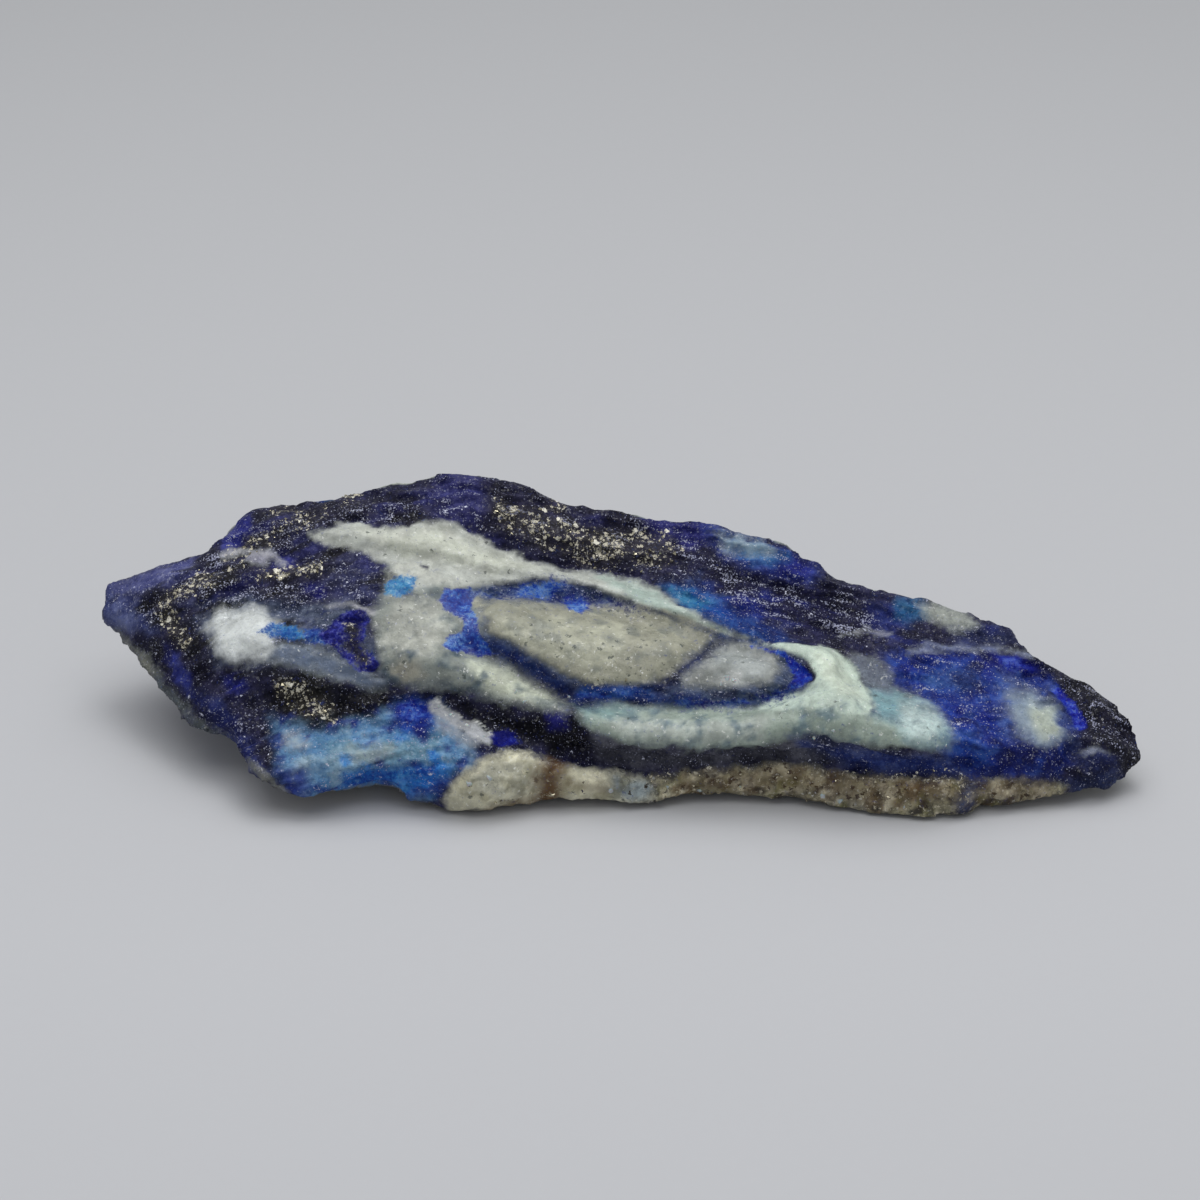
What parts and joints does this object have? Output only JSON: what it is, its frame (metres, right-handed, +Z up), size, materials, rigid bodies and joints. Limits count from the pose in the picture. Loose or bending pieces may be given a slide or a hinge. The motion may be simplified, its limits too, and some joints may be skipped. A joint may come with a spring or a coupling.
{
  "type": "afghanite specimen",
  "caption": "Long rough wedge of blue and white rock with a pointed end, ledges along its crest and a flat spot underneath to rest on.",
  "frame": {"origin": "middle of the stone's outline seen from above, at the level of the surface it rests on", "axes": "+X along the stone to its blunt end, +Y to its back, +Z up"},
  "size_m": [0.0702, 0.0222, 0.0144],
  "materials": {
    "stone": "rough broken stone"
  },
  "bodies": {
    "root": {"afghanite_stone": "stone"}
  },
  "joints": []
}
